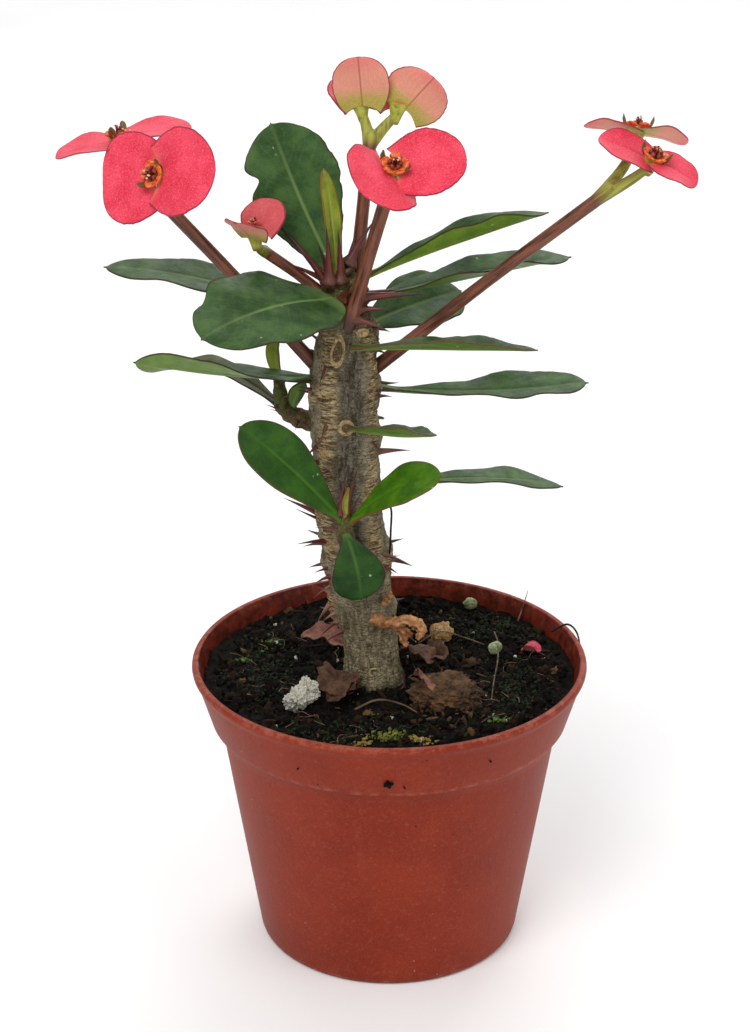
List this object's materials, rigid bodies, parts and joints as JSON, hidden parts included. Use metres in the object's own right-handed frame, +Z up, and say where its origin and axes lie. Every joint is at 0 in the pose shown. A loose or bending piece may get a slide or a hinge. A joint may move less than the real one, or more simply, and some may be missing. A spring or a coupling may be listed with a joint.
{
  "type": "potted flowering plant",
  "caption": "Crown of thorns plant with an upright thorny woody stem, spoon-shaped leaves and stalks of paired coral bracts, rooted in a flared plastic nursery pot of soil.",
  "frame": {"origin": "centre of the pot's flat underside, on the surface it stands on", "axes": "+Z up along the pot's axis; -Y is the front, the side seen in the picture; +X is the viewer's right"},
  "size_m": [0.1564, 0.105, 0.2395],
  "materials": {
    "terracotta_plastic": "terracotta-coloured moulded polypropylene, slightly dusty",
    "peat": "damp dark peat potting mix with crumbs",
    "bark": "grey-brown corky bark with ochre patches",
    "shoot_brown": "young brown-green bark",
    "leaf_green": "dark green waxy leaf with a pale midrib and a maroon edge",
    "leaf_fresh_green": "fresh yellow-green waxy leaf",
    "stalk_brown": "smooth maroon-brown flower stalk",
    "bract_coral": "coral-pink satin bract",
    "cup_green": "yellow-green flower cup with orange-red glands",
    "perlite_white": "white pitted expanded perlite",
    "bark_brown": "crumbled brown bark and root clump",
    "dead_leaf_brown": "dry papery brown leaf",
    "dried_flower_brown": "dry orange-brown flower remains"
  },
  "bodies": {
    "root": {"pot": "terracotta_plastic", "soil": "peat", "stem": "bark", "left_shoot": "shoot_brown", "lower_shoot": "shoot_brown", "leaf_upright": "leaf_green", "leaf_young": "leaf_green", "leaf_right_upper": "leaf_green", "leaf_right_long": "leaf_green", "leaf_right_back": "leaf_green", "leaf_front_left": "leaf_green", "leaf_left_far": "leaf_green", "leaf_right_thin": "leaf_green", "leaf_right_low": "leaf_green", "leaf_left_folded": "leaf_green", "shoot_leaf_long": "leaf_green", "shoot_leaf_upright": "leaf_green", "shoot_leaf_small": "leaf_green", "stem_leaf_thin": "leaf_green", "stem_leaf_drooping": "leaf_green", "stem_leaf_tiny": "leaf_green", "front_leaf_left": "leaf_fresh_green", "front_leaf_right": "leaf_fresh_green", "front_leaf_hanging": "leaf_fresh_green", "front_leaf_young": "leaf_fresh_green", "stalk_left": "stalk_brown", "stalk_left_short": "stalk_brown", "stalk_back": "stalk_brown", "stalk_front": "stalk_brown", "stalk_right": "stalk_brown", "flower_left_front_bract_a": "bract_coral", "flower_left_front_bract_b": "bract_coral", "flower_left_front_cup": "cup_green", "flower_left_back_bract_a": "bract_coral", "flower_left_back_bract_b": "bract_coral", "flower_left_back_cup": "cup_green", "flower_left_short_bract_a": "bract_coral", "flower_left_short_bract_b": "bract_coral", "flower_left_short_cup": "cup_green", "flower_back_left_bract_a": "bract_coral", "flower_back_left_bract_b": "bract_coral", "flower_back_left_cup": "cup_green", "flower_back_right_bract_a": "bract_coral", "flower_back_right_bract_b": "bract_coral", "flower_back_right_cup": "cup_green", "flower_front_bract_a": "bract_coral", "flower_front_bract_b": "bract_coral", "flower_front_cup": "cup_green", "flower_right_front_bract_a": "bract_coral", "flower_right_front_bract_b": "bract_coral", "flower_right_front_cup": "cup_green", "flower_right_back_bract_a": "bract_coral", "flower_right_back_bract_b": "bract_coral", "flower_right_back_cup": "cup_green", "perlite_chunk": "perlite_white", "bark_lump": "bark_brown", "fallen_leaf_pale": "dead_leaf_brown", "fallen_leaf_brown": "dead_leaf_brown", "dried_flower_stub": "dried_flower_brown"}
  },
  "joints": []
}
